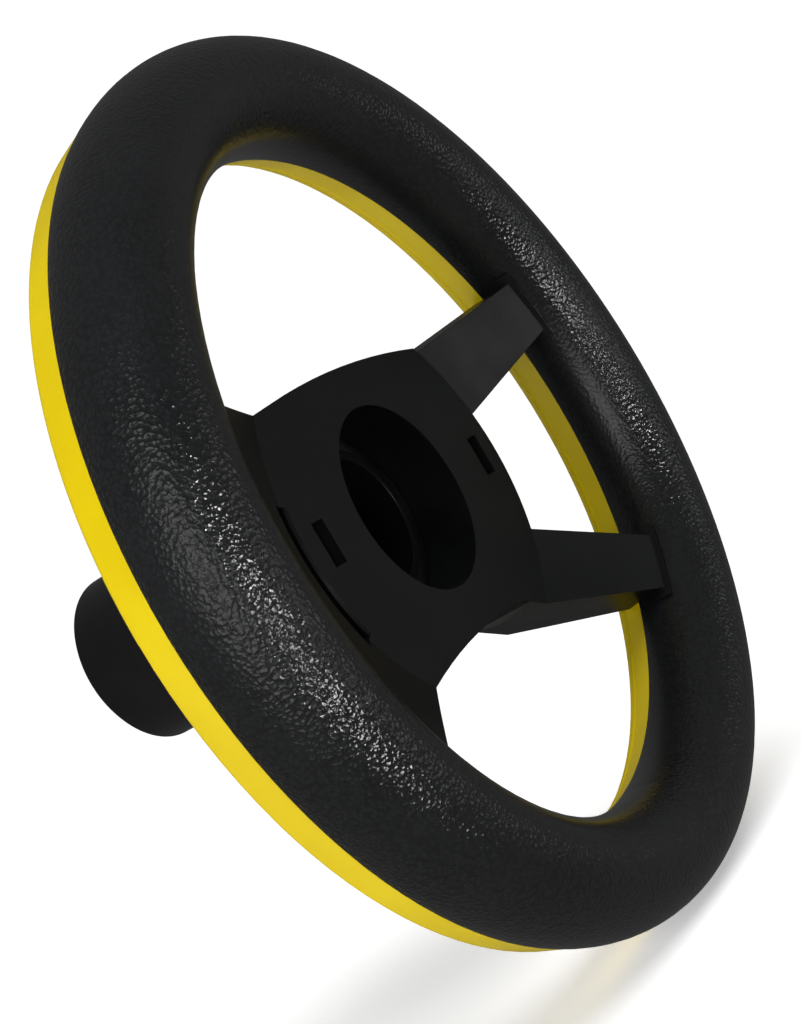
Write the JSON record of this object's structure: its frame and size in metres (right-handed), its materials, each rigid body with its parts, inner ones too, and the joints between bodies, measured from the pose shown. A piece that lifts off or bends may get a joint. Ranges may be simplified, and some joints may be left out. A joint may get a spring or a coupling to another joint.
{
  "type": "steering wheel",
  "caption": "Play steering wheel with a fat grained rim, contrasting back ring, narrow spokes and a broad web, turning freely on a stand-off sleeve that fits a round post.",
  "frame": {"origin": "wheel centre, on the spin axis in the plane where the grip meets the back ring", "axes": "the spin axis is Y, the driver's side faces -Y and the mounting sleeve points to +Y; the pair of narrow spokes points to +X"},
  "size_m": [0.273, 0.1476, 0.273],
  "materials": {
    "grip_black": "pebble-grained, semi-gloss",
    "ring_yellow": "smooth moulded, satin gloss",
    "frame_black": "smooth moulded, satin",
    "sleeve_black": "smooth moulded, satin",
    "bush_polymer": "low-friction polymer, matt",
    "zinc_steel": "zinc plated",
    "spring_steel": "phosphated spring steel",
    "brass": "turned brass",
    "seal_rubber": "matt rubber"
  },
  "bodies": {
    "column": {"front_thrust_washer": "zinc_steel", "wave_washer": "spring_steel", "retaining_ring": "spring_steel", "rear_thrust_washer": "zinc_steel", "mount_sleeve": "sleeve_black", "post_screw_inserts": "brass", "post_screws": "spring_steel", "post_screw_caps": "sleeve_black", "rear_seal_ring": "seal_rubber"},
    "wheel": {"rim_grip": "grip_black", "rim_back_ring": "ring_yellow", "ring_screw_plugs": "ring_yellow", "rim_screws": "zinc_steel", "spoke_foot_screws": "zinc_steel", "spoke_frame": "frame_black", "hub_back_cover": "frame_black", "back_cover_screws": "zinc_steel", "front_bush": "bush_polymer", "rear_bush": "bush_polymer"}
  },
  "joints": [
    {"name": "wheel_spin", "type": "hinge", "parent": "column", "child": "wheel", "pos_m": [0, 0, 0], "axis": [0, 1, 0], "continuous": true}
  ]
}
